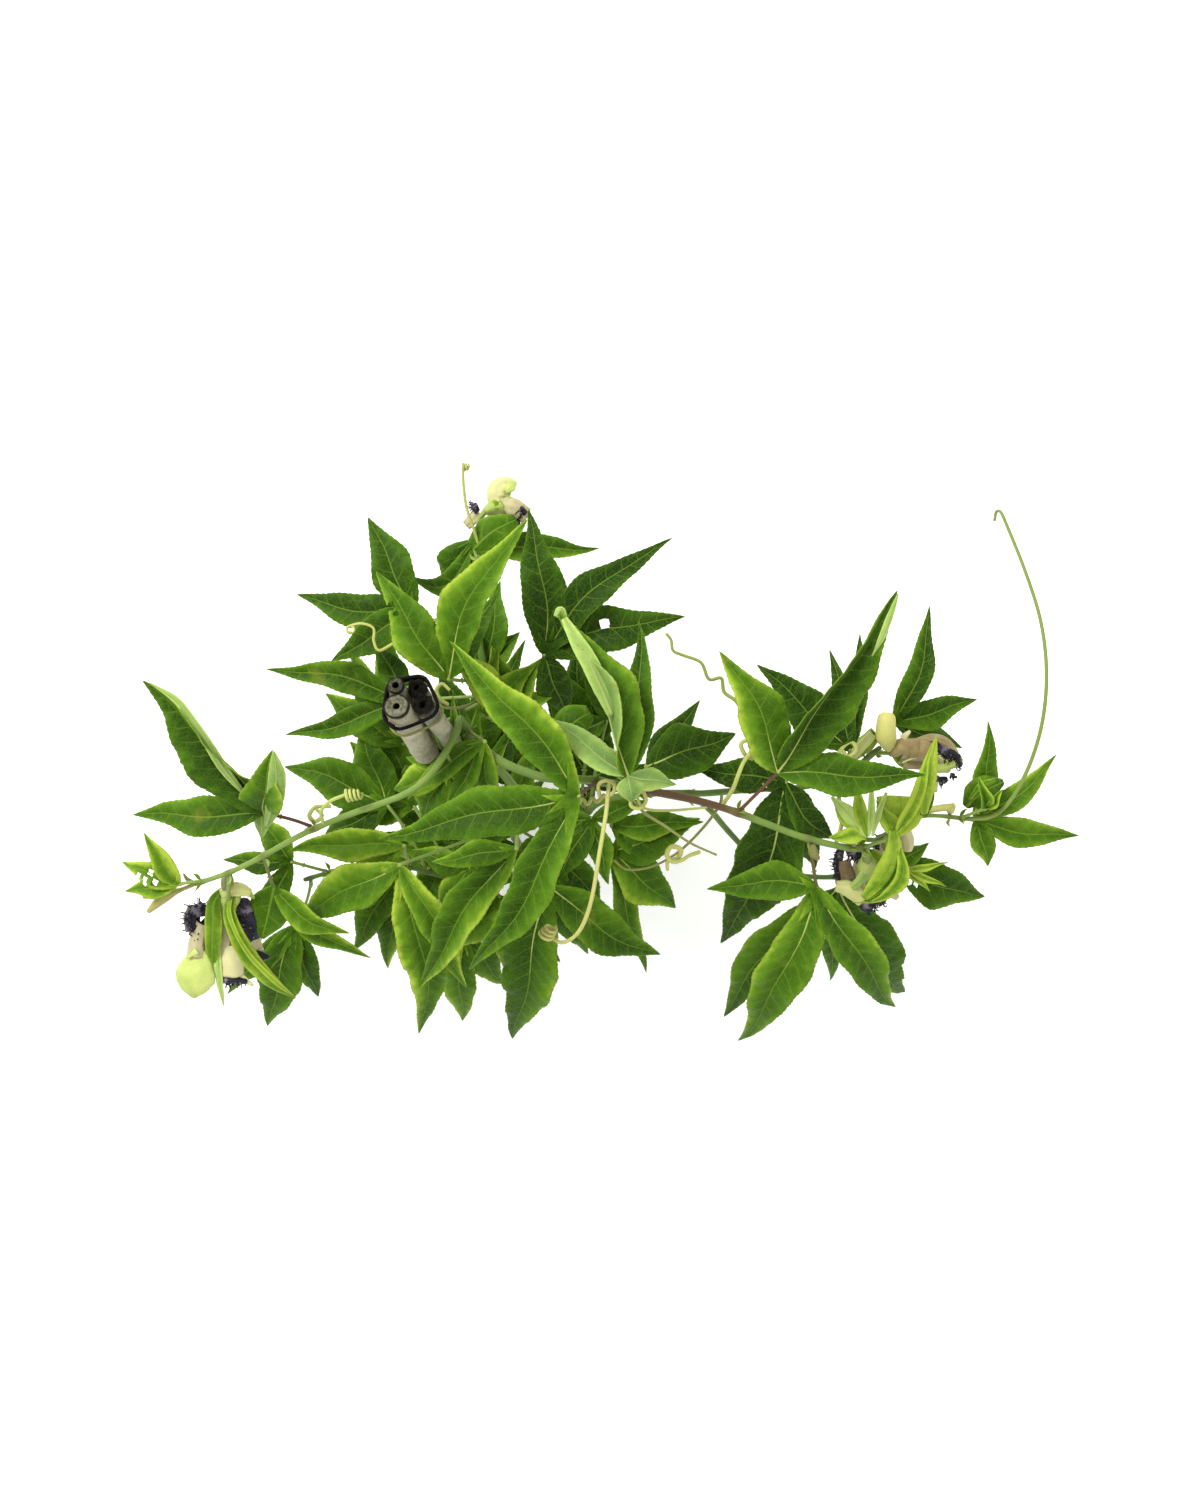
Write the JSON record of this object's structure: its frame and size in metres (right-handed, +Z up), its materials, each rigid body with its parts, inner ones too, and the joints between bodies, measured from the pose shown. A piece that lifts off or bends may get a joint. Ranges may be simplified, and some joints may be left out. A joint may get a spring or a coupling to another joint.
{
  "type": "passion flower vine",
  "caption": "Flowering passion flower vine, cut: lobed toothed leaves, curling tendrils and spent blooms on stems round a wire-tied bundle of canes that it stands on.",
  "frame": {"origin": "middle of the bounding box, on the surface that the sawn cane feet and the cut stems stand on", "axes": "+Z up along the plant, +X to the right along its longest spread, +Y towards its back"},
  "size_m": [0.4248, 0.2682, 0.2009],
  "materials": {
    "leaf": "leaf blade, mid green, slightly glossy",
    "leaf_dark": "leaf blade, dark green, slightly glossy",
    "leaf_young": "young leaf blade, yellow green",
    "stem": "green stem and tendril",
    "bract": "bract, light green",
    "tepal": "cream to yellow green petal",
    "corona": "dark violet filament",
    "cane": "weathered bamboo, matte",
    "wire": "black coating, satin"
  },
  "bodies": {
    "root": {"stem_left": "stem", "stem_right": "stem", "stem_back": "stem", "stem_low_right": "stem", "stem_right_tip": "stem", "stem_side": "stem", "stem_low_left": "stem", "cane_front_left": "cane", "cane_back_left": "cane", "cane_back": "cane", "cane_right": "cane", "wire_tie": "wire", "leaf_centre": "leaf", "leaf_folded_top": "leaf", "leaf_upper_left": "leaf", "leaf_dark_top": "leaf_dark", "leaf_left_shoot": "leaf", "leaf_right_top": "leaf", "leaf_right_front": "leaf", "leaf_right_back": "leaf_dark", "leaf_dark_right": "leaf_dark", "leaf_right_under": "leaf", "leaf_right_far": "leaf", "leaf_far_right": "leaf", "leaf_right_tip": "leaf", "leaf_right_bud": "leaf", "leaf_young_bright": "leaf_young", "leaf_young_pale": "leaf_young", "leaf_tiny": "leaf_young", "leaf_left_hanging": "leaf", "leaf_left_tip": "leaf_young", "leaf_low_centre_left": "leaf", "leaf_low_centre": "leaf", "leaf_front_centre": "leaf", "leaf_mid_right": "leaf", "leaf_round": "leaf_dark", "leaf_dark_mid": "leaf_dark", "leaf_back_upper": "leaf", "leaf_back_left": "leaf", "leaf_back_low": "leaf", "leaf_back_top": "leaf", "leaf_low_left_front": "leaf", "leaf_low_left_side": "leaf", "leaf_low_front": "leaf", "leaf_pale_left": "leaf", "leaf_stem_folded": "leaf", "leaf_mid_top": "leaf", "bloom_left_bracts": "bract", "bloom_left_tepals": "tepal", "bloom_left_corona": "corona", "bloom_top_bracts": "bract", "bloom_top_tepals": "tepal", "bloom_top_corona": "corona", "bloom_low_right_bracts": "bract", "bloom_low_right_tepals": "tepal", "bloom_low_right_corona": "corona", "bloom_far_right_bracts": "bract", "bloom_far_right_tepals": "tepal", "bloom_far_right_corona": "corona"}
  },
  "joints": []
}
